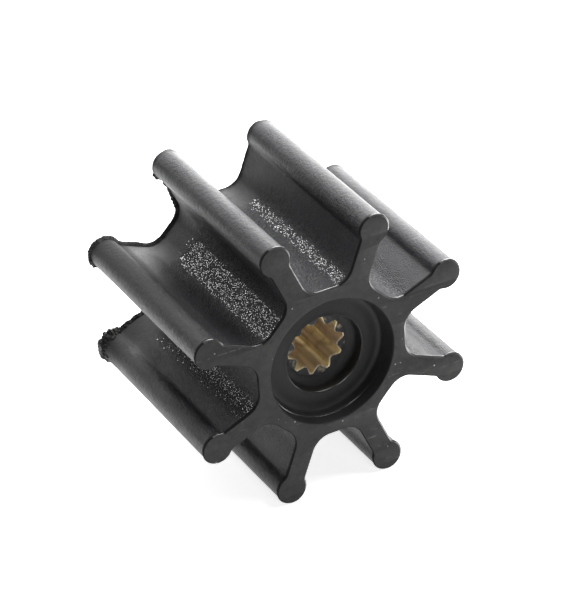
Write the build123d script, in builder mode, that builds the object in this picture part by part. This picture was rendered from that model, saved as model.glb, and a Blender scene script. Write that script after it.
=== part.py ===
"""Flexible impeller of a small marine raw-water pump, in millimetres.

Eight rubber blades with round beads on their tips stand on a thick rubber hub.  The blades and
the hub are one moulding, bonded to a brass bush whose bore is splined for the pump shaft.

Frame: the shaft axis is the Y axis and the front face looks towards -Y.  The origin is the
middle of the splined bore.  +Z is up, and the impeller lies on the beads of its two lowest blades.
"""
from build123d import *
import math
import os

os.makedirs("parts", exist_ok=True)

# ---- driving dimensions -------------------------------------------------------------------
impeller_length = 48.0
tip_circle_d = 65.0

blade_count = 8
blade_thickness = 4.25
tip_bead_d = 6.4
bead_neck_r = 1.6
blade_root_r = 4.4
hub_across_flats = 33.7

# a fine lip runs round the outline at both end faces, where the mould closed
edge_lip_proud = 0.3
edge_lip_width = 0.5

# moulding flash left untrimmed on part of the rear edge
flash_proud = 0.5
flash_width = 1.0
flash_start_angle = 115.0
flash_end_angle = 215.0

# recess in each end of the hub: a drafted wall, a narrow ledge, a steeper wall, and a floor
# that rises towards the bore
recess_mouth_d = 28.4
recess_wall_d = 27.7
recess_ledge_d = 27.2
recess_ledge_depth = 2.3
recess_floor_d = 26.6
recess_floor_depth = 4.6
recess_crown_depth = 3.5

# plain bore between the recess and the bush, and the rubber skin over the bush's end
hub_bore_d = 17.3
hub_bore_depth = 6.6
hub_bore_chamfer = 0.3
skin_thickness = 0.5
skin_bore_d = 13.9

# brass bush with straight-flanked internal splines
bush_d = 20.0
spline_count = 10
spline_major_d = 12.7
spline_minor_d = 9.8
spline_root_width = 0.55
spline_mouth_width = 2.2
spline_edge_chamfer = 0.2

# ---- sizes that follow --------------------------------------------------------------------
half_length = impeller_length / 2
bead_r = tip_bead_d / 2
bead_centre_r = tip_circle_d / 2 - bead_r
blade_pitch = 360 / blade_count
lowest_blade_angle = -90 + blade_pitch / 2

bush_length = impeller_length - 2 * (hub_bore_depth + skin_thickness)
half_bush = bush_length / 2

front_plane = Plane.XZ.offset(half_length)
rear_plane = Plane.XZ.offset(-half_length)


# ---- outline of the hub and blades, seen from the front -------------------------------------
with BuildSketch() as outline:
    # the hub is flat-sided between the blades, with a blade on each corner
    RegularPolygon(hub_across_flats / 2, blade_count, major_radius=False, rotation=lowest_blade_angle)
    with PolarLocations(0, blade_count, start_angle=lowest_blade_angle):
        Rectangle(bead_centre_r, blade_thickness, align=(Align.MIN, Align.CENTER))
    # the corners nearest the axis are where the blades' sides meet the hub's flats
    root_corners = outline.vertices().group_by(lambda corner: Vector(corner).length)[0]
    fillet(root_corners, blade_root_r)
    with PolarLocations(bead_centre_r, blade_count, start_angle=lowest_blade_angle):
        Circle(bead_r)
    # the necks are where a blade's flat side meets its round bead
    neck_reach = bead_centre_r - math.sqrt(bead_r**2 - (blade_thickness / 2) ** 2)
    neck_radius = math.hypot(neck_reach, blade_thickness / 2)
    necks = outline.vertices().filter_by(lambda corner: abs(Vector(corner).length - neck_radius) < 0.01)
    fillet(necks, bead_neck_r)


# ---- core that forms the recesses and the bore, and holds the bush ---------------------------
with BuildSketch() as core:
    with BuildLine():
        Polyline(
            (0, -half_length),
            (recess_mouth_d / 2, -half_length),
            (recess_wall_d / 2, recess_ledge_depth - half_length),
            (recess_ledge_d / 2, recess_ledge_depth - half_length),
            (recess_floor_d / 2, recess_floor_depth - half_length),
            (hub_bore_d / 2 + hub_bore_chamfer, recess_crown_depth - half_length),
            (hub_bore_d / 2, recess_crown_depth + hub_bore_chamfer - half_length),
            (hub_bore_d / 2, hub_bore_depth - half_length),
            (skin_bore_d / 2, hub_bore_depth - half_length),
            (skin_bore_d / 2, -half_bush),
            (bush_d / 2, -half_bush),
            (bush_d / 2, 0),
        )
        mirror(about=Plane.XZ)
        Line((0, -half_length), (0, half_length))
    make_face()


# ---- rubber hub and blades, one moulding -----------------------------------------------------
with BuildPart() as rubber_body:
    with BuildSketch(rear_plane):
        add(outline.sketch)
    extrude(amount=impeller_length)
    for end_plane, inwards in ((front_plane, -edge_lip_width), (rear_plane, edge_lip_width)):
        with BuildSketch(end_plane):
            offset(outline.sketch, amount=edge_lip_proud)
        extrude(amount=inwards)
    # flash: the same outline, wider still, kept only between its two angles
    with BuildSketch(rear_plane):
        offset(outline.sketch, amount=flash_proud)
        middle_angle = (flash_start_angle + flash_end_angle) / 2
        sector = [(0, 0)]
        for angle in (flash_start_angle, middle_angle, flash_end_angle):
            direction = math.radians(angle)
            sector.append((tip_circle_d * math.cos(direction), tip_circle_d * math.sin(direction)))
        Polygon(*sector, align=None, mode=Mode.INTERSECT)
    extrude(amount=flash_width)
    add(core.sketch)
    revolve(axis=Axis.Y, mode=Mode.SUBTRACT)

rubber_body.part.label = "rubber_body"
export_step(rubber_body.part, "parts/rubber_body.step")


# ---- outline of the splined bore -------------------------------------------------------------
flank_slope = (spline_mouth_width - spline_root_width) / (spline_major_d - spline_minor_d)
groove_inner_r = spline_minor_d / 4
groove_inner_half = spline_mouth_width / 2 + flank_slope * (spline_minor_d / 2 - groove_inner_r)
groove_outer_r = spline_major_d / 2 + spline_root_width
groove_outer_half = spline_root_width / 2 - flank_slope * spline_root_width

with BuildSketch() as spline_hole:
    # one groove lies in line with a blade
    with PolarLocations(0, spline_count, start_angle=lowest_blade_angle):
        Polygon(
            (groove_inner_r, -groove_inner_half),
            (groove_outer_r, -groove_outer_half),
            (groove_outer_r, groove_outer_half),
            (groove_inner_r, groove_inner_half),
            align=None,
        )
    Circle(spline_major_d / 2, mode=Mode.INTERSECT)
    Circle(spline_minor_d / 2)


# ---- brass bush ------------------------------------------------------------------------------
with BuildPart() as splined_bush:
    with BuildSketch(Plane.XZ.offset(-half_bush)):
        Circle(bush_d / 2)
        add(spline_hole.sketch, mode=Mode.SUBTRACT)
    extrude(amount=bush_length)
    end_faces = splined_bush.faces().filter_by(Axis.Y)
    for end_face in end_faces:
        chamfer(end_face.inner_wires()[0].edges(), spline_edge_chamfer)

splined_bush.part.label = "splined_bush"
export_step(splined_bush.part, "parts/splined_bush.step")
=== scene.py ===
"""Looks of a rubber pump impeller: a moulded rubber body on a splined brass bush.

The rubber is remodelled here from the same sizes as the solid, with a moulding fin along its front
edge, a pebbled skin between the blades and torn flash at the rear.  The bush is the solid itself, with
a finish.  Lengths are in metres unless a comment says mm.  The shaft axis is Y and the front face looks
towards -Y.
"""
import bmesh
import bpy
import math
from mathutils import Matrix, Vector, noise
from mathutils.geometry import tessellate_polygon


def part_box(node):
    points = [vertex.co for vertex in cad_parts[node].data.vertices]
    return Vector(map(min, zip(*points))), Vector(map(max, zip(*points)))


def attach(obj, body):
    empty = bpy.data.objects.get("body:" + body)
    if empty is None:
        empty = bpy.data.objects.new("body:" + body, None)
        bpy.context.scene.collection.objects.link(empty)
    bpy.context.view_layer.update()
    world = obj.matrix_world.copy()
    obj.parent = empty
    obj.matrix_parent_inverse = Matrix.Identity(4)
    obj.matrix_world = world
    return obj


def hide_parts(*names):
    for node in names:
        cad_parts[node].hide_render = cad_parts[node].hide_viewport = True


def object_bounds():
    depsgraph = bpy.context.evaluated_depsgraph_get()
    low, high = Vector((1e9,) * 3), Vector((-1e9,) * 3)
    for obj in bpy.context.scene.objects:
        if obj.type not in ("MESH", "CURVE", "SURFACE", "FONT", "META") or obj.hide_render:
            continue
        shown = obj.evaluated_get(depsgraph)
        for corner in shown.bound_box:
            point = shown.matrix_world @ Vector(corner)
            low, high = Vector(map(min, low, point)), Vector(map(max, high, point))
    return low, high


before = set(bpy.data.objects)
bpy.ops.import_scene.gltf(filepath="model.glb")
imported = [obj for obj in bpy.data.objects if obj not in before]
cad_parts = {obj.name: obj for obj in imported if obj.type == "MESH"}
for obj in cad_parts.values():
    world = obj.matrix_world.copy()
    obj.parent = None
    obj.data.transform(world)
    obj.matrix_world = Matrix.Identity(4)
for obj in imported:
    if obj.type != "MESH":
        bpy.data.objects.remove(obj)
cad_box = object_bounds()

MM = 0.001

# ---- sizes of the rubber body, as in the solid ------------------------------------------------
HALF_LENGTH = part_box("rubber_body")[1][1]
BUSH_HALF_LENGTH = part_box("splined_bush")[1][1]
BLADE_COUNT = 8
BLADE_PITCH = 2 * math.pi / BLADE_COUNT
LOWEST_BLADE = -math.pi / 2 + BLADE_PITCH / 2
HALF_BLADE = 2.125 * MM
BEAD_R = 3.2 * MM
BEAD_CENTRE_R = 29.3 * MM
NECK_R = 1.6 * MM
ROOT_R = 4.4 * MM
HUB_APOTHEM = 16.85 * MM

RECESS_MOUTH_R = 14.2 * MM
RECESS_WALL_R = 13.85 * MM
RECESS_LEDGE_R = 13.6 * MM
RECESS_LEDGE_DEPTH = 2.3 * MM
RECESS_FLOOR_R = 13.3 * MM
RECESS_FLOOR_DEPTH = 4.6 * MM
RECESS_CROWN_DEPTH = 3.5 * MM
HUB_BORE_R = 8.65 * MM
HUB_BORE_DEPTH = 6.6 * MM
SKIN_R = 6.75 * MM
SKIN_BACK_DEPTH = 7.1 * MM
BUSH_R = 10.0 * MM

# ---- camera, from the photograph's perspective ------------------------------------------------
CAMERA_AZIMUTH = math.radians(-26.14)
CAMERA_ELEVATION = math.radians(31.66)
CAMERA_DISTANCE = 0.717
CAMERA_AIM = Vector((0.00347, -0.00073, 0.00145))
CAMERA_ROLL = math.radians(4.10)
CAMERA_LENS = 208.0
SENSOR_WIDTH = 36.0
CLIP_START = 0.01


def make_camera():
    """The camera stands in front, to the left and above, with a long lens and a small roll."""
    data = bpy.data.cameras.new("camera")
    data.lens = CAMERA_LENS
    data.sensor_width = SENSOR_WIDTH
    data.clip_start = CLIP_START
    camera = bpy.data.objects.new("camera", data)
    bpy.context.collection.objects.link(camera)
    level = math.cos(CAMERA_ELEVATION) * CAMERA_DISTANCE
    camera.location = (
        level * math.sin(CAMERA_AZIMUTH),
        -level * math.cos(CAMERA_AZIMUTH),
        CAMERA_DISTANCE * math.sin(CAMERA_ELEVATION),
    )
    look = (CAMERA_AIM - camera.location).to_track_quat("-Z", "Y").to_matrix().to_4x4()
    camera.matrix_world = Matrix.Translation(camera.location) @ look @ Matrix.Rotation(-CAMERA_ROLL, 4, "Z")
    bpy.context.scene.camera = camera


def clamp(value):
    """The value, kept between 0 and 1."""
    return min(1.0, max(0.0, value))


def turn_between(a, b):
    """The smaller angle between two directions."""
    return abs((a - b + math.pi) % (2 * math.pi) - math.pi)


# ---- outline of the hub and blades ------------------------------------------------------------
# samples along each stretch of half a blade, at density 1
BEAD_SAMPLES = 16
NECK_SAMPLES = 4
SIDE_SAMPLES = 6
ROOT_SAMPLES = 12
FLOOR_SAMPLES = 4
# how pebbled a blade's side gets towards its root: a growth less a loss; and the root: a start and a growth
PEBBLE_SIDE_LOSS = 0.3
PEBBLE_SIDE_GROWTH = 1.2
PEBBLE_ROOT_START = 0.9
PEBBLE_ROOT_GROWTH = 2.0


def arc(centre, radius, start, end, count, sign):
    """Samples of an arc as (x, y, normal x, normal y); sign is -1 where the rubber is outside it."""
    samples = []
    for i in range(count):
        angle = start + (end - start) * i / count
        c, s = math.cos(angle), math.sin(angle)
        samples.append((centre[0] + radius * c, centre[1] + radius * s, sign * c, sign * s))
    return samples


def half_blade(density):
    """Outline from the tip of a blade to the middle of the valley beside it, in the blade's frame.

    Each sample is (x, y, normal x, normal y, valley, flank): valley is 1 on the hub and 0 on a blade,
    flank is 0 on a bead and 1 beside it.
    """
    half_pitch = BLADE_PITCH / 2
    neck_y = HALF_BLADE + NECK_R
    neck_x = BEAD_CENTRE_R - math.sqrt((BEAD_R + NECK_R) ** 2 - neck_y**2)
    root_y = HALF_BLADE + ROOT_R
    root_x = (HUB_APOTHEM + ROOT_R - root_y * math.sin(half_pitch)) / math.cos(half_pitch)
    bead_end = math.atan2(neck_y, neck_x - BEAD_CENTRE_R)
    root_end = half_pitch - math.pi
    samples = []

    bead = arc((BEAD_CENTRE_R, 0), BEAD_R, 0, bead_end, BEAD_SAMPLES * density, 1)
    neck_start = bead_end - math.pi
    neck = arc((neck_x, neck_y), NECK_R, neck_start, -math.pi / 2, NECK_SAMPLES * density, -1)
    samples.extend(p + (0.0, 0.0) for p in bead)
    samples.extend(p + (0.0, i / len(neck)) for i, p in enumerate(neck))
    side_count = SIDE_SAMPLES * density
    for i in range(side_count):
        t = i / side_count
        valley = clamp(PEBBLE_SIDE_GROWTH * t - PEBBLE_SIDE_LOSS)
        samples.append((neck_x + (root_x - neck_x) * t, HALF_BLADE, 0.0, 1.0, valley, 1.0))
    root = arc((root_x, root_y), ROOT_R, -math.pi / 2, root_end, ROOT_SAMPLES * density, -1)
    for i, p in enumerate(root):
        samples.append(p + (clamp(PEBBLE_ROOT_START + PEBBLE_ROOT_GROWTH * i / len(root)), 1.0))
    floor_count = FLOOR_SAMPLES * density
    n = (math.cos(half_pitch), math.sin(half_pitch))
    start = (root_x + ROOT_R * math.cos(root_end), root_y + ROOT_R * math.sin(root_end))
    middle = (HUB_APOTHEM * n[0], HUB_APOTHEM * n[1])
    for i in range(floor_count + 1):
        t = i / floor_count
        x = start[0] + (middle[0] - start[0]) * t
        y = start[1] + (middle[1] - start[1]) * t
        samples.append((x, y, n[0], n[1], 1.0, 1.0))
    return samples


def outline(density=1):
    """The whole outline, counter-clockwise seen from the front, starting at a valley's middle."""
    half = half_blade(density)
    lower = [(x, -y, nx, -ny, v, f) for x, y, nx, ny, v, f in reversed(half)]
    blade = lower[:-1] + half[:-1]
    loop = []
    for k in range(BLADE_COUNT):
        a = LOWEST_BLADE + k * BLADE_PITCH
        c, s = math.cos(a), math.sin(a)
        for x, y, nx, ny, v, f in blade:
            loop.append((x * c - y * s, x * s + y * c, nx * c - ny * s, nx * s + ny * c, v, f))
    return loop


# ---- rubber body ------------------------------------------------------------------------------
STATION_STEP = 0.52 * MM
# sections of the end edges in mm: (depth from the end face, how far it stands out); in front a bevel
# up to a fin with a long back, at the rear a soft edge
FRONT_EDGE = [
    (0.0, -0.14), (0.04, -0.08), (0.09, 0.0), (0.14, 0.08), (0.19, 0.15), (0.24, 0.20), (0.30, 0.23),
    (0.36, 0.235), (0.44, 0.21), (0.53, 0.16), (0.62, 0.11), (0.72, 0.06), (0.82, 0.01), (0.92, -0.01),
    (1.05, 0.0),
]
REAR_EDGE = [
    (0.0, -0.26), (0.04, -0.12), (0.11, 0.0), (0.22, 0.08), (0.36, 0.11), (0.52, 0.08), (0.7, 0.0),
]
# the front fin stands up round this direction, and is pressed down elsewhere
FIN_MIDDLE = math.radians(40)
FIN_HALF_WIDTH = math.radians(65)
FIN_FADE = math.radians(30)
FIN_PRESSED_BY = 0.04 * MM
CREST_DEPTH = 0.40 * MM
BACK_DEPTH = 0.84 * MM

# materials of the rubber piece, in the order of its slots
SIDE, FACE, RECESS, CREST, SHADE = range(5)

# unevenness of the skin: noise scales per metre, heights in mm
WAVE_SCALE = 160
WAVE_HEIGHT = 0.035
LUMP_SCALE = 900
LUMP_SMALL_SCALE = 1700
LUMP_SMALL_SHARE = 0.6
LUMP_HEIGHT = 0.05

# pebbles fade out towards the rear, to a last small amount
PEBBLE_START = 12 * MM
PEBBLE_END = 18 * MM
PEBBLE_LEAST = 0.12
# worn, shiny pebbles: the direction they face, which turns and widens leftwards, and their right limit
WORN_MIDDLE = math.radians(117)
WORN_HALF_WIDTH = math.radians(16)
WORN_WIDENING = math.radians(0.15) / MM
WORN_TURNING = math.radians(0.6) / MM
WORN_FADE = math.radians(16)
WORN_RIGHT = 14 * MM
WORN_RIGHT_FADE = 4 * MM
# stained, dull rubber round the crumbled end of a blade; on the upward side of the bead above it, duller
# rubber with painted shade
CRUMBLED_END = Vector((-0.0271, 0.024, -0.0112))
STAIN_REACH = 12 * MM
DULL_SHADE_BEAD = (-0.0271, 0.0112)
DULL_SHADE_REACH = 6 * MM
DULL_SHADE_FADE = 2 * MM
DULL_SHADE_SIDE = math.radians(70)
DULL_SHADE_FRONT = 0.4
DULL_SHADE_REAR = 0.7

# the recess, bore and skin edge, round the shaft
BORE_SEGMENTS = 180
ROUND_STEPS = 5
MOUTH_EDGE = 0.18 * MM
# section of the mouth's edge: (share of its size outwards, share of its size inwards)
MOUTH_SECTION = [(1.0, 0.0), (0.45, 0.12), (0.1, 0.5)]
FLOOR_CORNER = 0.9 * MM
CROWN_EDGE = 0.28 * MM
CROWN_SHINE = 0.6
BORE_SEAT = 0.9 * MM
# depths in mm of the samples down the recess's wall, and between which of them the ledge shines
WALL_DEPTHS = (0.20, 0.7, 1.3, 1.9, 2.2, 2.28, 2.305, 2.34, 2.40, 2.46, 2.8, 3.2, 3.7)
LEDGE_SHINE = (2.25, 2.38)
# the ledge shows round this direction and dies away to a last small share; its step takes a share of
# the depth below it
LEDGE_MIDDLE = math.radians(-108)
LEDGE_HALF_WIDTH = math.radians(30)
LEDGE_FADE = math.radians(35)
LEDGE_LEAST = 0.12
LEDGE_STEP = 0.05
# rings of the skin's uneven edge over the bush: (depth, how much wider in mm)
SKIN_RINGS = [
    (HUB_BORE_DEPTH + 0.10 * MM, 0.7),
    (SKIN_BACK_DEPTH - 0.12 * MM, 0.12),
    (SKIN_BACK_DEPTH, 0.0),
]
# (turns of noise round the ring, which part of the noise, height in mm)
SKIN_WANDER = (3, 5, 0.30)
SKIN_RAGGED = (11, 9, 0.18)


def stations():
    """(y, how far the edge stands out) from the front face to the rear face."""
    rows = [(-HALF_LENGTH + d * MM, o * MM) for d, o in FRONT_EDGE]
    first = rows[-1][0]
    rear = [(HALF_LENGTH - d * MM, o * MM) for d, o in reversed(REAR_EDGE)]
    last = rear[0][0]
    count = round((last - first) / STATION_STEP)
    for i in range(1, count):
        rows.append((first + (last - first) * i / count, 0.0))
    return rows + rear


def fin_share(nx, nz):
    """The moulding fin stands up along the upper right edges and is pressed down along the others."""
    turn = turn_between(math.atan2(nz, nx), FIN_MIDDLE)
    return clamp((FIN_HALF_WIDTH - turn) / FIN_FADE + 0.5)


def edge_height(y, proud, fin):
    """How far an end edge stands out: the rear one alike all round, the front one less where pressed."""
    if y > 0:
        return proud
    pressed = max(0.0, proud - FIN_PRESSED_BY)
    return pressed + (proud - pressed) * fin


def edge_material(y, fin):
    """Behind the front face the moulding fin's crest, where the fin stands up, gets a lighter, shiny
    material as a painted highlight; its back, and the whole edge where the fin is pressed down, get a
    darker one as painted shade.
    """
    depth = y + HALF_LENGTH
    if depth > BACK_DEPTH:
        return SIDE
    if fin > 0.5 and depth < CREST_DEPTH:
        return CREST
    return SHADE


def worn_share(x, nx, nz):
    """Between the upper and left blades, the pebbles that face up and to the left are worn shiny."""
    leftward = max(0.0, -x)
    turn = turn_between(math.atan2(nz, nx), WORN_MIDDLE + WORN_TURNING * leftward)
    half_width = WORN_HALF_WIDTH + WORN_WIDENING * leftward
    return clamp((half_width - turn) / WORN_FADE + 0.5) * clamp((WORN_RIGHT - x) / WORN_RIGHT_FADE)


def stain_and_bead_shade(point, nx, nz):
    """Stained, dull rubber round the crumbled end of the lower left blade; along the upward side of the
    bead above it, duller rubber with painted shade.
    """
    crumbled = max(0.0, 1.0 - (point - CRUMBLED_END).length / STAIN_REACH)
    away = math.hypot(point.x - DULL_SHADE_BEAD[0], point.z - DULL_SHADE_BEAD[1])
    facing = max(0.0, nx * math.cos(DULL_SHADE_SIDE) + nz * math.sin(DULL_SHADE_SIDE))
    bead = facing * clamp((DULL_SHADE_REACH - away) / DULL_SHADE_FADE)
    lengthwise = (point.y + HALF_LENGTH) / (2 * HALF_LENGTH)
    return max(crumbled, bead * (DULL_SHADE_FRONT + (DULL_SHADE_REAR - DULL_SHADE_FRONT) * lengthwise))


def pebble_amount(y, valley):
    """Pebbles fill the valleys and fade out towards the rear."""
    fade = min(1.0, max(PEBBLE_LEAST, (PEBBLE_END - y) / (PEBBLE_END - PEBBLE_START)))
    return valley * fade


def skin_height(point, pebble):
    """Unevenness of the moulded skin: slow waves, and soft lumps where it is pebbled."""
    waves = noise.noise(point * WAVE_SCALE) * WAVE_HEIGHT * MM
    small = LUMP_SMALL_SHARE * noise.noise(point * LUMP_SMALL_SCALE)
    lumps = (noise.noise(point * LUMP_SCALE) + small) * LUMP_HEIGHT * MM
    return -abs(waves) + min(0.0, lumps) * pebble


def ledge_share(angle):
    """The moulded ledge shows at the bottom of the recess and dies away round the ring."""
    turn = turn_between(angle, LEDGE_MIDDLE)
    return LEDGE_LEAST + (1.0 - LEDGE_LEAST) * clamp((LEDGE_HALF_WIDTH - turn) / LEDGE_FADE + 1.0)


def wall_radius(depth, share):
    """Radius of the recess wall, between a plain draft and the stepped one."""
    plain = RECESS_MOUTH_R + (RECESS_FLOOR_R - RECESS_MOUTH_R) * depth / RECESS_FLOOR_DEPTH
    if depth < RECESS_LEDGE_DEPTH:
        stepped = RECESS_MOUTH_R + (RECESS_WALL_R - RECESS_MOUTH_R) * depth / RECESS_LEDGE_DEPTH
    else:
        below = (depth - RECESS_LEDGE_DEPTH) / (RECESS_FLOOR_DEPTH - RECESS_LEDGE_DEPTH)
        edge = min(1.0, below / LEDGE_STEP)
        ledge = RECESS_WALL_R + (RECESS_LEDGE_R - RECESS_WALL_R) * edge
        stepped = ledge + (RECESS_FLOOR_R - RECESS_LEDGE_R) * below
    return plain + (stepped - plain) * share


def hub_section(share):
    """(radius, depth, shine) down a hub end, from the recess's mouth to the bush's seat."""
    section = []
    for outward, inward in MOUTH_SECTION:
        section.append((RECESS_MOUTH_R + outward * MOUTH_EDGE, inward * MOUTH_EDGE, 0.0))
    for depth in WALL_DEPTHS:
        shine = share**4 if LEDGE_SHINE[0] < depth < LEDGE_SHINE[1] else 0.0
        section.append((wall_radius(depth * MM, share), depth * MM, shine))
    # rounded corner to the floor, which rises to a crown round the bore
    slope = (RECESS_FLOOR_DEPTH - RECESS_CROWN_DEPTH) / (RECESS_FLOOR_R - HUB_BORE_R)
    start_r, start_depth = section[-1][:2]
    end_r = RECESS_FLOOR_R - FLOOR_CORNER
    end_depth = RECESS_FLOOR_DEPTH - FLOOR_CORNER * slope
    for i in range(1, ROUND_STEPS + 1):
        a = math.pi / 2 * i / ROUND_STEPS
        r = start_r + (end_r - start_r) * (1 - math.cos(a))
        section.append((r, start_depth + (end_depth - start_depth) * math.sin(a), 0.0))
    for t in (0.25, 0.5, 0.75, 1.0):
        r = end_r + (HUB_BORE_R + CROWN_EDGE - end_r) * t
        section.append((r, RECESS_CROWN_DEPTH + (r - HUB_BORE_R) * slope, 0.0))
    for i in range(1, ROUND_STEPS + 1):
        a = math.pi / 2 * i / ROUND_STEPS
        r = HUB_BORE_R + CROWN_EDGE * (1 - math.sin(a))
        depth = RECESS_CROWN_DEPTH + CROWN_EDGE * (1 - math.cos(a))
        section.append((r, depth, CROWN_SHINE * share))
    # the bore, and its rounded seat on the skin over the bush
    section.append((HUB_BORE_R, (RECESS_CROWN_DEPTH + CROWN_EDGE + HUB_BORE_DEPTH - BORE_SEAT) / 2, 0.0))
    for i in range(ROUND_STEPS + 1):
        a = math.pi / 2 * i / ROUND_STEPS
        r = HUB_BORE_R - BORE_SEAT * (1 - math.cos(a))
        section.append((r, HUB_BORE_DEPTH - BORE_SEAT * (1 - math.sin(a)), 0.0))
    return section


def turn_outward(mesh):
    """Turns every face of a closed mesh so that its normal points out of the piece."""
    faces = bmesh.new()
    faces.from_mesh(mesh)
    bmesh.ops.recalc_face_normals(faces, faces=faces.faces)
    faces.to_mesh(mesh)
    faces.free()


SHARP_ANGLE = math.radians(50)


class MeshBuilder:
    """Collects vertices and faces, with a material number and smoothness for each face."""

    def __init__(self):
        self.points = []
        self.faces = []
        self.materials = []
        self.smooth = []
        self.weights = {}

    def loop(self, points, **weights):
        """Adds a loop of points; each weight is one number or a list with one for each point."""
        first = len(self.points)
        self.points.extend(points)
        indices = list(range(first, first + len(points)))
        for name, value in weights.items():
            values = value if isinstance(value, list) else [value] * len(points)
            self.weights.setdefault(name, {}).update(zip(indices, values))
        return indices

    def face(self, indices, material, smooth=True):
        """One face; turn_outward later decides which way it looks."""
        self.faces.append(indices)
        self.materials.append(material)
        self.smooth.append(smooth)

    def bridge(self, a, b, material, smooth=True):
        """Quads between two loops of equal length, in one material or a list of them."""
        count = len(a)
        chosen = material if isinstance(material, list) else [material] * count
        for i in range(count):
            j = (i + 1) % count
            self.face((a[i], a[j], b[j], b[i]), chosen[i], smooth)

    def fill_ring(self, outer, inner, material):
        """Flat triangles across the shaft, between an outer loop and an inner one."""
        flat = []
        for loop in (outer, inner):
            corners = [self.points[i] for i in loop]
            flat.append([Vector((x, z, 0.0)) for x, _, z in corners])
        indices = outer + inner
        for triangle in tessellate_polygon(flat):
            self.face([indices[i] for i in triangle], material, False)

    def make(self, name, materials):
        """A piece of the collected faces, with the weights as attributes of its points."""
        mesh = bpy.data.meshes.new(name)
        mesh.from_pydata(self.points, [], self.faces)
        mesh.polygons.foreach_set("material_index", self.materials)
        mesh.polygons.foreach_set("use_smooth", self.smooth)
        for weight, values in self.weights.items():
            layer = mesh.attributes.new(weight, "FLOAT", "POINT")
            layer.data.foreach_set("value", [values.get(i, 0.0) for i in range(len(self.points))])
        for material in materials:
            mesh.materials.append(material)
        turn_outward(mesh)
        mesh.update()
        mesh.set_sharp_from_angle(angle=SHARP_ANGLE)
        piece = bpy.data.objects.new(name, mesh)
        bpy.context.collection.objects.link(piece)
        return piece


def add_sides(builder, loop):
    """The outline swept from the front face to the rear one; gives its first and last rows."""
    flanks = [sample[5] for sample in loop]
    fins = [fin_share(sample[2], sample[3]) for sample in loop]
    wears = [worn_share(sample[0], sample[2], sample[3]) for sample in loop]
    heights = stations()
    rows = []
    for y, proud in heights:
        points = []
        pebbles = []
        stains = []
        for (x, z, nx, nz, valley, _), fin in zip(loop, fins):
            point = Vector((x, y, z))
            pebble = pebble_amount(y, valley)
            pebbles.append(pebble)
            # the stain weight holds real stains and painted shade on the upward side of one bead
            stains.append(stain_and_bead_shade(point, nx, nz))
            out = edge_height(y, proud, fin) if proud else skin_height(point, pebble)
            points.append((x + nx * out, y, z + nz * out))
        worn = [pebble * wear for pebble, wear in zip(pebbles, wears)]
        rows.append(builder.loop(points, pebble=pebbles, worn=worn, flank=flanks, stain=stains))
    for (y, _), a, b in zip(heights, rows, rows[1:]):
        builder.bridge(a, b, [edge_material(y, fin) for fin in fins])
    return rows[0], rows[-1]


def skin_radius(angle, side, spread):
    """Radius of the skin over the bush, which ends in an uneven edge."""
    uneven = 0.0
    for turns, part, height in (SKIN_WANDER, SKIN_RAGGED):
        spot = Vector((turns * math.cos(angle), turns * math.sin(angle), side * part))
        uneven += height * noise.noise(spot)
    return SKIN_R + (uneven + spread) * MM


def on_ring(angle, radius, side, depth):
    """A point on a ring round the shaft, at a depth from the front (side -1) or rear (side 1) face."""
    return (radius * math.cos(angle), side * (HALF_LENGTH - depth), radius * math.sin(angle))


def add_hub_end(builder, side, end_row):
    """End face, recess, bore and skin at one end; gives the loop where the skin meets the bush."""
    angles = [2 * math.pi * i / BORE_SEGMENTS for i in range(BORE_SEGMENTS)]
    sections = [hub_section(ledge_share(a)) for a in angles]
    rings = []
    for samples in zip(*sections):
        ring = [on_ring(a, r, side, depth) for a, (r, depth, _) in zip(angles, samples)]
        rings.append(builder.loop(ring, edge=[shine for _, _, shine in samples]))
    for depth, spread in SKIN_RINGS:
        ring = [on_ring(a, skin_radius(a, side, spread), side, depth) for a in angles]
        rings.append(builder.loop(ring))
    rings.append(builder.loop([on_ring(a, BUSH_R, side, SKIN_BACK_DEPTH) for a in angles]))
    for a, b in zip(rings, rings[1:]):
        # the two ends mirror each other, and so do their faces
        if side < 0:
            a, b = b, a
        builder.bridge(a, b, RECESS)
    builder.fill_ring(end_row, rings[0], FACE)
    return rings[-1]


def make_rubber(materials):
    """The whole rubber moulding as one closed mesh."""
    builder = MeshBuilder()
    front_row, rear_row = add_sides(builder, outline())
    front_seat = add_hub_end(builder, -1, front_row)
    rear_seat = add_hub_end(builder, 1, rear_row)
    builder.bridge(rear_seat, front_seat, RECESS)
    return builder.make("rubber_moulding", materials)


# ---- torn flash at the rear edge --------------------------------------------------------------
FLASH_DENSITY = 6
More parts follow.
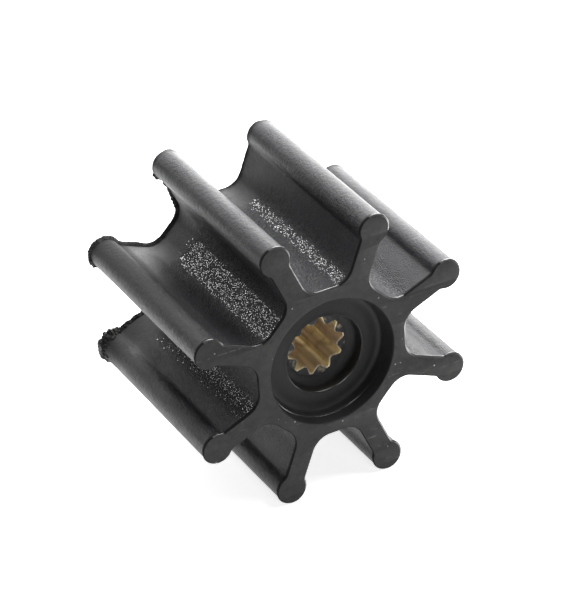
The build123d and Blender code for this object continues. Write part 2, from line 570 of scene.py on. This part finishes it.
# stretches of flash: (place, reach in mm, thickness in mm, raggedness); the place counts blades from
# the lowest one on the right, anticlockwise seen from the front, with .5 at a blade's tip
FLASH_RUNS = [
    [
        (3.53, 0.0, 0.4, 0.1), (3.57, 0.24, 0.5, 0.15), (3.75, 0.32, 0.6, 0.2), (4.00, 0.36, 0.6, 0.2),
        (4.20, 0.30, 0.6, 0.2), (4.38, 0.22, 0.5, 0.2), (4.45, 0.18, 0.4, 0.2), (4.48, 0.0, 0.4, 0.0),
    ],
    [(4.63, 0.0, 0.5, 0.6), (4.642, 0.48, 0.8, 0.6), (4.69, 0.55, 0.9, 0.7), (4.705, 0.0, 0.5, 0.6)],
    [
        (4.72, 0.0, 0.5, 0.4), (4.74, 0.45, 0.7, 0.5), (4.80, 0.72, 0.8, 0.4), (4.86, 0.78, 0.9, 0.3),
        (4.93, 0.66, 0.9, 0.2), (5.10, 0.66, 0.9, 0.1), (5.30, 0.66, 1.0, 0.2), (5.42, 0.62, 1.0, 0.3),
        (5.48, 0.66, 0.8, 0.4), (5.56, 0.70, 0.9, 0.9), (5.64, 0.66, 1.0, 1.1), (5.69, 0.50, 0.8, 0.9),
        (5.76, 0.30, 0.6, 0.6), (5.84, 0.50, 0.8, 0.9), (5.88, 0.60, 0.9, 0.9), (5.91, 0.20, 0.6, 0.6),
        (6.12, 0.22, 0.6, 0.6), (6.24, 0.50, 1.2, 1.0), (6.34, 0.85, 2.8, 1.2), (6.44, 0.75, 3.4, 1.2),
        (6.50, 0.46, 3.6, 1.3), (6.58, 0.46, 3.4, 1.3), (6.63, 0.60, 2.6, 1.2), (6.67, 0.30, 1.6, 0.8),
        (6.70, 0.0, 0.4, 0.4),
    ],
]
FLASH_LIMIT = 0.95 * MM
FLASH_DEPTH_IN_SKIN = 0.03 * MM
LEFT_CLEARANCE = 0.02 * MM
# unevenness of the fin's reach: noise scales per metre and how much each counts
SLOW_SCALE = 350
SLOW_AMOUNT = 0.2
TEETH_SCALE = 1300
FINE_TEETH_SCALE = 3300
FINE_TEETH_SHARE = 0.9
TEETH_AMOUNT = 0.8
LEAST_REACH = 0.1
THICKNESS_SCALE = 1100
THICKNESS_AMOUNT = 0.5
# crumbs on ragged flash; a fin with less reach than the full one, in mm, has smaller crumbs
CRUMB_HEIGHT = 0.17 * MM
CRUMB_SCALE = 1100
FINE_CRUMB_SCALE = 2600
CRUMB_FULL_REACH = 0.3
# section of the fin: (share of its thickness from the rear face, share of its reach)
FLASH_SECTION = [
    (0.0, -0.6), (0.0, 0.3), (0.03, 0.75), (0.10, 0.96), (0.18, 1.0), (0.26, 0.98), (0.34, 0.92),
    (0.42, 0.85), (0.50, 0.76), (0.58, 0.66), (0.66, 0.55), (0.74, 0.43), (0.82, 0.30), (0.90, 0.17),
    (0.96, 0.06), (1.0, -0.05), (1.0, -0.6),
]


def along(table, place):
    """Values of a table at a place, with straight lines between its rows."""
    for low, high in zip(table, table[1:]):
        if low[0] <= place <= high[0]:
            t = (place - low[0]) / (high[0] - low[0])
            return [a + (b - a) * t for a, b in zip(low[1:], high[1:])]
    return None


def flash_ring(x, z, nx, nz, values, left_limit):
    """Section of the fin at one place of the outline, as a loop of points."""
    reach, thickness, ragged = values
    spot = Vector((x, HALF_LENGTH, z))
    slow = noise.noise(spot * SLOW_SCALE)
    teeth = noise.noise(spot * TEETH_SCALE) + FINE_TEETH_SHARE * noise.noise(spot * FINE_TEETH_SCALE)
    share = max(LEAST_REACH, 1.0 + SLOW_AMOUNT * slow + TEETH_AMOUNT * ragged * teeth)
    width = thickness * (1.0 + THICKNESS_AMOUNT * ragged * noise.noise(spot * THICKNESS_SCALE))
    ring = []
    for depth, height in FLASH_SECTION:
        y = HALF_LENGTH - depth * width * MM
        out = height * reach * share * MM - FLASH_DEPTH_IN_SKIN
        if height > 0:
            place = Vector((x, y, z))
            torn = noise.noise(place * FINE_CRUMB_SCALE) + noise.noise(place * CRUMB_SCALE)
            out += CRUMB_HEIGHT * ragged * torn * min(1.0, reach / CRUMB_FULL_REACH)
        out = min(out, FLASH_LIMIT)
        ring.append((max(left_limit, x + nx * out), y, z + nz * out))
    return ring


def make_flash(material):
    """Thin torn fins along the rear edge, from the upper left blade down to the lower left one."""
    builder = MeshBuilder()
    loop = outline(FLASH_DENSITY)
    left_limit = cad_box[0][0] + LEFT_CLEARANCE
    for run in FLASH_RUNS:
        rows = []
        for i, (x, z, nx, nz, _, _) in enumerate(loop):
            values = along(run, BLADE_COUNT * i / len(loop))
            if values is not None:
                ring = flash_ring(x, z, nx, nz, values, left_limit)
                rows.append(builder.loop(ring, torn=values[-1]))
        for a, b in zip(rows, rows[1:]):
            builder.bridge(a, b, 0)
        builder.face(list(reversed(rows[0])), 0)
        builder.face(rows[-1], 0)
    return builder.make("rubber_flash", [material])


# ---- materials --------------------------------------------------------------------------------
class Nodes:
    """Short names for building a material's node tree; most methods give the new node's output."""

    def __init__(self, name):
        self.material = bpy.data.materials.new(name)
        self.material.use_nodes = True
        self.tree = self.material.node_tree
        self.shader = self.tree.nodes["Principled BSDF"]
        coordinates = self.tree.nodes.new("ShaderNodeTexCoord")
        self.place = coordinates.outputs["Object"]

    def link(self, a, b):
        self.tree.links.new(a, b)

    def node(self, kind, **values):
        """A node of a kind, with some of its properties set."""
        made = self.tree.nodes.new(kind)
        for key, value in values.items():
            setattr(made, key, value)
        return made

    def feed(self, socket, value):
        """Gives a socket a number or colour of its own, or links another node's output to it."""
        if isinstance(value, tuple):
            socket.default_value = (*value, 1.0)
        elif isinstance(value, (int, float)):
            socket.default_value = value
        else:
            self.link(value, socket)

    def stretched(self, x, y, z):
        """The place on the object, scaled along each axis."""
        mapping = self.node("ShaderNodeMapping")
        mapping.inputs["Scale"].default_value = (x, y, z)
        self.link(self.place, mapping.inputs["Vector"])
        return mapping.outputs["Vector"]

    def noise(self, scale, detail, roughness, vector=None, distortion=0.0):
        made = self.node("ShaderNodeTexNoise")
        made.inputs["Scale"].default_value = scale
        made.inputs["Detail"].default_value = detail
        made.inputs["Roughness"].default_value = roughness
        made.inputs["Distortion"].default_value = distortion
        self.link(vector or self.place, made.inputs["Vector"])
        return made.outputs["Fac"]

    def cells(self, scale):
        """A pattern of cells, as the node itself: it has a distance and a colour."""
        made = self.node("ShaderNodeTexVoronoi", feature="F1")
        made.inputs["Scale"].default_value = scale
        self.link(self.place, made.inputs["Vector"])
        return made

    def ramp(self, value, low, high, to_low=0.0, to_high=1.0):
        """A number that goes from to_low to to_high while the value goes from low to high."""
        made = self.node("ShaderNodeMapRange")
        made.inputs["From Min"].default_value = low
        made.inputs["From Max"].default_value = high
        made.inputs["To Min"].default_value = to_low
        made.inputs["To Max"].default_value = to_high
        self.link(value, made.inputs["Value"])
        return made.outputs["Result"]

    def math(self, operation, a, b):
        made = self.node("ShaderNodeMath", operation=operation)
        for socket, value in zip(made.inputs, (a, b)):
            self.feed(socket, value)
        return made.outputs["Value"]

    def between(self, factor, a, b):
        """A number between two others."""
        made = self.node("ShaderNodeMix", data_type="FLOAT")
        self.link(factor, made.inputs["Factor"])
        self.link(a, made.inputs[2])
        self.link(b, made.inputs[3])
        return made.outputs[0]

    def colours(self, value, stops):
        """A colour that follows the value through (position, colour) stops."""
        made = self.node("ShaderNodeValToRGB")
        elements = made.color_ramp.elements
        while len(elements) < len(stops):
            elements.new(0.5)
        for element, (position, colour) in zip(elements, stops):
            element.position = position
            element.color = (*colour, 1.0)
        self.link(value, made.inputs["Fac"])
        return made.outputs["Color"]

    def mix(self, factor, a, b):
        """A colour between two others."""
        made = self.node("ShaderNodeMix", data_type="RGBA")
        sockets = [s for s in made.inputs if s.type == "RGBA"]
        self.link(factor, made.inputs["Factor"])
        for socket, value in zip(sockets, (a, b)):
            self.feed(socket, value)
        return [s for s in made.outputs if s.type == "RGBA"][0]

    def bump(self, height, strength, distance, normal=None):
        made = self.node("ShaderNodeBump")
        self.feed(made.inputs["Strength"], strength)
        made.inputs["Distance"].default_value = distance
        self.link(height, made.inputs["Height"])
        if normal is not None:
            self.link(normal, made.inputs["Normal"])
        return made.outputs["Normal"]

    def attribute(self, name):
        """A weight of the mesh's points."""
        made = self.node("ShaderNodeAttribute", attribute_name=name)
        return made.outputs["Fac"]

    def set(self, **values):
        """Sets the shader's own sockets, named with _ for each space."""
        for key, value in values.items():
            self.feed(self.shader.inputs[key.replace("_", " ")], value)


# rubber: dark tones between which the material wanders
SIDE_TONES = [(0.3, (0.015, 0.0145, 0.0175)), (0.7, (0.025, 0.024, 0.028))]
# painted shade: darker tones for the back of the moulding fin
SHADE_TONES = [(0.3, (0.006, 0.006, 0.006)), (0.7, (0.012, 0.012, 0.012))]
FACE_TONES = [(0.3, (0.010, 0.010, 0.010)), (0.7, (0.018, 0.018, 0.018))]
RECESS_TONES = [(0.3, (0.010, 0.010, 0.010)), (0.7, (0.016, 0.016, 0.016))]
FLASH_TONES = [(0.3, (0.022, 0.021, 0.021)), (0.7, (0.040, 0.039, 0.038))]
RAGGED_TONES = [(0.42, (0.003, 0.003, 0.003)), (0.66, (0.020, 0.020, 0.019))]
# painted highlight: a slightly lighter colour for the fin's crest on the upper right edges
CREST_HIGHLIGHT_COLOUR = (0.03, 0.03, 0.03)
STAIN_AND_SHADE_COLOUR = (0.004, 0.004, 0.004)
SCUFFED = (0.028, 0.028, 0.027)
SCRATCHED = (0.15, 0.15, 0.15)
DUST = (0.30, 0.30, 0.29)

# pebbles: cells per metre, height of their bump, and the lower one that the worn, shiny coat follows
PEBBLE_SCALE = 3300
PEBBLE_HEIGHT = 0.00019
SHINE_HEIGHT = 0.000055


def rubber_side_material():
    """Moulded rubber: satin, scuffed beads, duller flanks, pebbles, some of them shiny, stains, and painted
    shade on one side of a bead.
    """
    n = Nodes("rubber_side")
    valley = n.attribute("pebble")
    wear = n.attribute("worn")
    flank = n.attribute("flank")
    cloud = n.noise(120, 3.0, 0.5)
    mottle = n.noise(1100, 4.0, 0.6)
    grain = n.noise(3000, 3.0, 0.6)
    # scuffed patches on the beads, drawn out along the blade
    patch = n.ramp(n.noise(190, 3.0, 0.55, n.stretched(1.0, 0.45, 1.0)), 0.42, 0.62, 0.3, 1.0)
    patch = n.math("MULTIPLY", patch, n.ramp(valley, 0.3, 0.05))
    scuff = n.noise(2300, 3.0, 0.65, n.stretched(1.0, 0.7, 1.0), 1.2)
    # pebbles: round grains of under half a millimetre, some of them worn shiny
    cells = n.cells(PEBBLE_SCALE)
    dome = n.ramp(n.math("MULTIPLY", cells.outputs["Distance"], cells.outputs["Distance"]), 0.36, 0.0)
    rise = n.math("MULTIPLY", dome, n.ramp(cells.outputs["Color"], 0.0, 1.0, 0.3, 1.0))
    pebble = n.math("ADD", rise, n.noise(900, 2.0, 0.5))
    pick = n.math("SUBTRACT", cells.outputs["Color"], n.ramp(wear, 0.0, 0.8, 0.6, 0.0))
    worn = n.math("MULTIPLY", n.ramp(pick, 0.46, 0.50), n.ramp(dome, 0.4, 0.6))
    # tone and roughness: duller on the flanks, rough round the worn pebbles, dark where stained and where
    # shade is painted on a bead
    base = n.colours(cloud, SIDE_TONES)
    satin = n.ramp(mottle, 0.3, 0.7, 0.42, 0.50)
    dull = n.ramp(mottle, 0.3, 0.7, 0.50, 0.60)
    rough = n.between(flank, satin, dull)
    rough = n.math("MAXIMUM", rough, n.ramp(wear, 0.1, 0.6, 0.0, 0.62))
    # the stain weight holds real stains and painted shade on the upward side of one bead
    stain = n.attribute("stain")
    base = n.mix(n.ramp(stain, 0.0, 0.9), base, STAIN_AND_SHADE_COLOUR)
    rough = n.math("MAXIMUM", rough, n.ramp(stain, 0.0, 1.0, 0.4, 1.0))
    fine = n.bump(grain, 0.5, 0.00008)
    fine = n.bump(mottle, n.ramp(flank, 0.0, 1.0, 0.5, 0.2), 0.0003, fine)
    fine = n.bump(scuff, n.math("MULTIPLY", patch, 0.55), 0.0004, fine)
    soft = n.bump(dome, n.ramp(valley, 0.15, 0.9), SHINE_HEIGHT, fine)
    fine = n.bump(pebble, n.ramp(valley, 0.15, 0.9), PEBBLE_HEIGHT, fine)
    n.set(Base_Color=base, Roughness=rough, Normal=fine)
    n.set(Coat_Weight=worn, Coat_Normal=soft, Coat_Roughness=0.09, Coat_IOR=4.6)
    return n.material


def rubber_crest_material():
    """The crest of the moulding fin on the upper right edges: smooth, shiny rubber, a little lighter as a
    painted highlight.
    """
    n = Nodes("rubber_crest")
    shine = n.ramp(n.noise(700, 3.0, 0.6), 0.35, 0.6, 0.6, 1.0)
    n.set(Base_Color=CREST_HIGHLIGHT_COLOUR, Roughness=0.5)
    n.set(Coat_Weight=shine, Coat_Roughness=0.18, Coat_IOR=1.9)
    return n.material


def rubber_shade_material():
    """The back of the moulding fin, and the edge where the fin is pressed down: painted shade, a dull black
    rubber that reflects little.
    """
    n = Nodes("rubber_shade")
    base = n.colours(n.noise(500, 3.0, 0.6), SHADE_TONES)
    n.set(Base_Color=base, Roughness=0.7, Specular_IOR_Level=0.15)
    return n.material


def rubber_face_material():
    """End faces: matt, scuffed rubber with dust specks and fine scratches."""
    n = Nodes("rubber_face")
    cloud = n.noise(60, 5.0, 0.6)
    mottle = n.noise(650, 4.0, 0.7)
    grain = n.noise(4200, 2.0, 0.6)
    speck_size = n.cells(420).outputs["Distance"]
    speck_pick = n.noise(300, 1.0, 0.5)
    specks = n.math("MULTIPLY", n.ramp(speck_size, 0.10, 0.05), n.ramp(speck_pick, 0.46, 0.50))
    streak = n.noise(420, 2.0, 0.5, n.stretched(0.25, 1.0, 1.6), 1.5)
    lines = n.math("MULTIPLY", n.ramp(streak, 0.66, 0.70), n.ramp(mottle, 0.45, 0.6))
    base = n.colours(cloud, FACE_TONES)
    base = n.mix(n.ramp(mottle, 0.35, 0.75), base, SCUFFED)
    base = n.mix(n.math("MULTIPLY", lines, 0.35), base, SCRATCHED)
    base = n.mix(specks, base, DUST)
    fine = n.bump(grain, 0.35, 0.00005)
    fine = n.bump(n.noise(450, 4.0, 0.6), 0.25, 0.0002, fine)
    rough = n.ramp(cloud, 0.3, 0.7, 0.55, 0.7)
    n.set(Base_Color=base, Roughness=rough, Normal=fine, Specular_IOR_Level=0.28)
    return n.material


def rubber_recess_material():
    """The recess and bore: plain dark moulded rubber with a shiny ledge and crown."""
    n = Nodes("rubber_recess")
    cloud = n.noise(150, 4.0, 0.6)
    base = n.colours(cloud, RECESS_TONES)
    fine = n.bump(n.noise(3800, 2.0, 0.6), 0.25, 0.00005)
    rough = n.ramp(cloud, 0.3, 0.7, 0.55, 0.65)
    n.set(Base_Color=base, Roughness=rough, Normal=fine, Specular_IOR_Level=0.28)
    n.set(Coat_Weight=n.attribute("edge"), Coat_Roughness=0.15, Coat_IOR=2.0)
    return n.material


def flash_material():
    """Torn flash: dull grey where it is a smooth fin, black and crumbly where it is ragged."""
    n = Nodes("rubber_flash")
    torn = n.ramp(n.attribute("torn"), 0.45, 0.85)
    crumbs = n.noise(2200, 3.0, 0.65)
    smooth = n.colours(crumbs, FLASH_TONES)
    ragged = n.colours(crumbs, RAGGED_TONES)
    fine = n.bump(crumbs, n.ramp(n.attribute("torn"), 0.1, 0.9, 0.3, 1.0), 0.0004)
    base = n.mix(torn, smooth, ragged)
    rough = n.ramp(crumbs, 0.45, 0.62, 0.75, 0.28)
    n.set(Base_Color=base, Roughness=rough, Normal=fine, Specular_IOR_Level=0.25)
    return n.material


BRASS_TONES = [(0.25, (0.74, 0.62, 0.39)), (0.5, (0.93, 0.81, 0.53)), (0.8, (0.97, 0.90, 0.70))]
COPPERY = (0.62, 0.48, 0.40)
OLIVE = (0.38, 0.31, 0.17)
PITTED = (0.14, 0.09, 0.05)
# painted shade on the lands between the grooves
LAND_SHADE_COLOUR = (0.33, 0.24, 0.17)
# painted shade on the brass end faces
END_SHADE_COLOUR = (0.10, 0.085, 0.075)
FILM_COLOUR = (0.012, 0.012, 0.013)
# how metallic the dulled splines and the filmed end faces look
BRASS_METALLIC = 0.5
END_METALLIC = 0.3
# painted shade on the lands between the grooves: fully up to the first radius, not at all from the second
LAND_SHADE_R = (5.1 * MM, 5.9 * MM)
LAND_SHADE_AMOUNT = 0.6
END_FACE_DEPTH = 0.03 * MM


def brass_material():
    """Broached brass: broad streaks along the splines, stains, painted shade on the lands and end faces,
    and rubber film over the end faces.
    """
    n = Nodes("spline_brass")
    streaks = n.noise(1300, 3.0, 0.6, n.stretched(1.0, 0.05, 1.0))
    bands = n.noise(260, 2.0, 0.5, n.stretched(1.0, 0.08, 1.0))
    stain = n.noise(300, 4.0, 0.65)
    spots = n.noise(1500, 3.0, 0.6)
    tone = n.colours(streaks, BRASS_TONES)
    tone = n.mix(n.ramp(bands, 0.52, 0.60, 0.0, 0.5), tone, COPPERY)
    tone = n.mix(n.ramp(stain, 0.50, 0.78), tone, OLIVE)
    tone = n.mix(n.ramp(spots, 0.66, 0.72), tone, PITTED)
    # painted shade on the lands, by the square of the distance from the shaft axis
    split = n.node("ShaderNodeSeparateXYZ")
    n.link(n.place, split.inputs["Vector"])
    across = n.math("MULTIPLY", split.outputs["X"], split.outputs["X"])
    upright = n.math("MULTIPLY", split.outputs["Z"], split.outputs["Z"])
    square = n.math("ADD", across, upright)
    land_shade = n.ramp(square, LAND_SHADE_R[0] ** 2, LAND_SHADE_R[1] ** 2, LAND_SHADE_AMOUNT, 0.0)
    tone = n.mix(land_shade, tone, LAND_SHADE_COLOUR)
    # painted shade on the end faces, which lie under a film of rubber
    along_axis = n.math("ABSOLUTE", split.outputs["Y"], 0.0)
    end = n.math("GREATER_THAN", along_axis, BUSH_HALF_LENGTH - END_FACE_DEPTH)
    tone = n.mix(n.math("MULTIPLY", end, 0.9), tone, END_SHADE_COLOUR)
    film = n.math("MULTIPLY", end, n.ramp(n.noise(420, 5.0, 0.65), 0.64, 0.55))
    tone = n.mix(film, tone, FILM_COLOUR)
    metallic = n.ramp(end, 0.0, 1.0, BRASS_METALLIC, END_METALLIC)
    rough = n.math("ADD", n.ramp(stain, 0.3, 0.7, 0.42, 0.55), n.math("MULTIPLY", end, 0.15))
    fine = n.bump(streaks, 0.5, 0.0001)
    fine = n.bump(n.noise(1900, 3.0, 0.6), n.math("MULTIPLY", end, 0.6), 0.0002, fine)
    n.set(Base_Color=tone, Metallic=metallic, Roughness=rough, Normal=fine)
    return n.material


# ---- stage ------------------------------------------------------------------------------------
FLOOR_HALF_SIZE = 4.0
FLOOR_WHITE = 0.86
# what the camera sees of the floor beyond its own shading
FLOOR_LIFT = 0.78
# strength of the surround in front and behind, and where one turns into the other along Y
WORLD_FRONT = 0.10
WORLD_BEHIND = 0.12
WORLD_TURN = (-0.3, 0.7)
# watts for a softbox of brightness 1 and a size of one metre
SOFTBOX_POWER = 4.0
# softboxes of a small light tent: (name, share towards the rear, turn from the right over the top in
# degrees, distance, size, brightness)
SOFTBOXES = [
    ("fill_front", -0.90, 105, 0.90, 0.30, 5.0),
    ("key_front", -0.20, 60, 0.35, 0.22, 5.4),
    ("key_high", 0.35, 65, 0.35, 0.22, 4.2),
    ("key_side", 0.35, 35, 0.35, 0.22, 5.0),
    ("rim_right", 0.76, -3, 0.22, 0.13, 3.4),
    ("arc_low", 0.76, 22, 0.22, 0.13, 1.7),
    ("arc_middle", 0.76, 50, 0.22, 0.13, 2.5),
    ("arc_high", 0.76, 78, 0.22, 0.13, 1.6),
    ("back_left", 0.76, 120, 0.90, 0.50, 2.9),
]


def sum_of(tree, a, b):
    """The sum of two outputs in a node tree."""
    made = tree.nodes.new("ShaderNodeMath")
    made.operation = "ADD"
    tree.links.new(a, made.inputs[0])
    tree.links.new(b, made.inputs[1])
    return made.outputs["Value"]


def floor_material():
    """Matt white that is lifted for the camera, and white in reflections."""
    material = bpy.data.materials.new("floor_white")
    material.use_nodes = True
    tree = material.node_tree
    tree.nodes.clear()
    out = tree.nodes.new("ShaderNodeOutputMaterial")
    matt = tree.nodes.new("ShaderNodeBsdfDiffuse")
    matt.inputs["Color"].default_value = (FLOOR_WHITE, FLOOR_WHITE, FLOOR_WHITE, 1)
    glow = tree.nodes.new("ShaderNodeEmission")
    path = tree.nodes.new("ShaderNodeLightPath")
    lift = tree.nodes.new("ShaderNodeMath")
    lift.operation = "MULTIPLY"
    lift.inputs[1].default_value = FLOOR_LIFT
    tree.links.new(path.outputs["Is Camera Ray"], lift.inputs[0])
    reflected = sum_of(tree, path.outputs["Is Glossy Ray"], path.outputs["Is Transmission Ray"])
    total = sum_of(tree, lift.outputs["Value"], reflected)
    tree.links.new(total, glow.inputs["Strength"])
    both = tree.nodes.new("ShaderNodeAddShader")
    tree.links.new(matt.outputs["BSDF"], both.inputs[0])
    tree.links.new(glow.outputs["Emission"], both.inputs[1])
    tree.links.new(both.outputs["Shader"], out.inputs["Surface"])
    return material


def make_floor():
    """A wide floor that shows white to the camera and keeps the impeller's shadow."""
    low = cad_box[0][2]
    size = FLOOR_HALF_SIZE
    corners = [(-size, -size, low), (size, -size, low), (size, size, low), (-size, size, low)]
    mesh = bpy.data.meshes.new("floor")
    mesh.from_pydata(corners, [], [(0, 1, 2, 3)])
    mesh.materials.append(floor_material())
    floor = bpy.data.objects.new("floor", mesh)
    bpy.context.collection.objects.link(floor)


def make_world():
    """A soft surround, a little brighter behind the object, that the camera sees as white."""
    world = bpy.data.worlds.new("surround")
    bpy.context.scene.world = world
    world.use_nodes = True
    tree = world.node_tree
    background = tree.nodes["Background"]
    place = tree.nodes.new("ShaderNodeTexCoord")
    split = tree.nodes.new("ShaderNodeSeparateXYZ")
    behind = tree.nodes.new("ShaderNodeMapRange")
    behind.interpolation_type = "SMOOTHSTEP"
    behind.inputs["From Min"].default_value = WORLD_TURN[0]
    behind.inputs["From Max"].default_value = WORLD_TURN[1]
    behind.inputs["To Min"].default_value = WORLD_FRONT
    behind.inputs["To Max"].default_value = WORLD_BEHIND
    path = tree.nodes.new("ShaderNodeLightPath")
    highest = tree.nodes.new("ShaderNodeMath")
    highest.operation = "MAXIMUM"
    tree.links.new(place.outputs["Generated"], split.inputs["Vector"])
    tree.links.new(split.outputs["Y"], behind.inputs["Value"])
    tree.links.new(behind.outputs["Result"], highest.inputs[0])
    tree.links.new(path.outputs["Is Camera Ray"], highest.inputs[1])
    tree.links.new(highest.outputs["Value"], background.inputs["Strength"])


def make_softbox(name, rearward, turn, distance, size, brightness):
    """A square area lamp that faces the object; its power follows from its size and brightness."""
    data = bpy.data.lights.new(name, "AREA")
    data.shape = "SQUARE"
    data.size = size
    data.energy = SOFTBOX_POWER * brightness * size**2
    lamp = bpy.data.objects.new(name, data)
    bpy.context.collection.objects.link(lamp)
    across = math.sqrt(1.0 - rearward**2)
    turn = math.radians(turn)
    lamp.location = distance * Vector((across * math.cos(turn), rearward, across * math.sin(turn)))
    lamp.rotation_euler = (-lamp.location).to_track_quat("-Z", "Y").to_euler()
    lamp.visible_camera = False


def dress_rubber():
    """The two pieces that stand in for the rubber body."""
    materials = [
        rubber_side_material(),
        rubber_face_material(),
        rubber_recess_material(),
        rubber_crest_material(),
        rubber_shade_material(),
    ]
    rubber = make_rubber(materials)
    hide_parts("rubber_body")
    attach(rubber, "root")
    flash = make_flash(flash_material())
    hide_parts("rubber_body")
    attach(flash, "root")


def dress_bush():
    """The bush keeps its own mesh and gets the brass."""
    brass = brass_material()
    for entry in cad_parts["splined_bush"].material_slots:
        entry.material = brass


def main():
    make_camera()
    bpy.context.scene.view_settings.view_transform = "Standard"
    dress_rubber()
    dress_bush()
    make_floor()
    make_world()
    for softbox in SOFTBOXES:
        make_softbox(*softbox)


main()
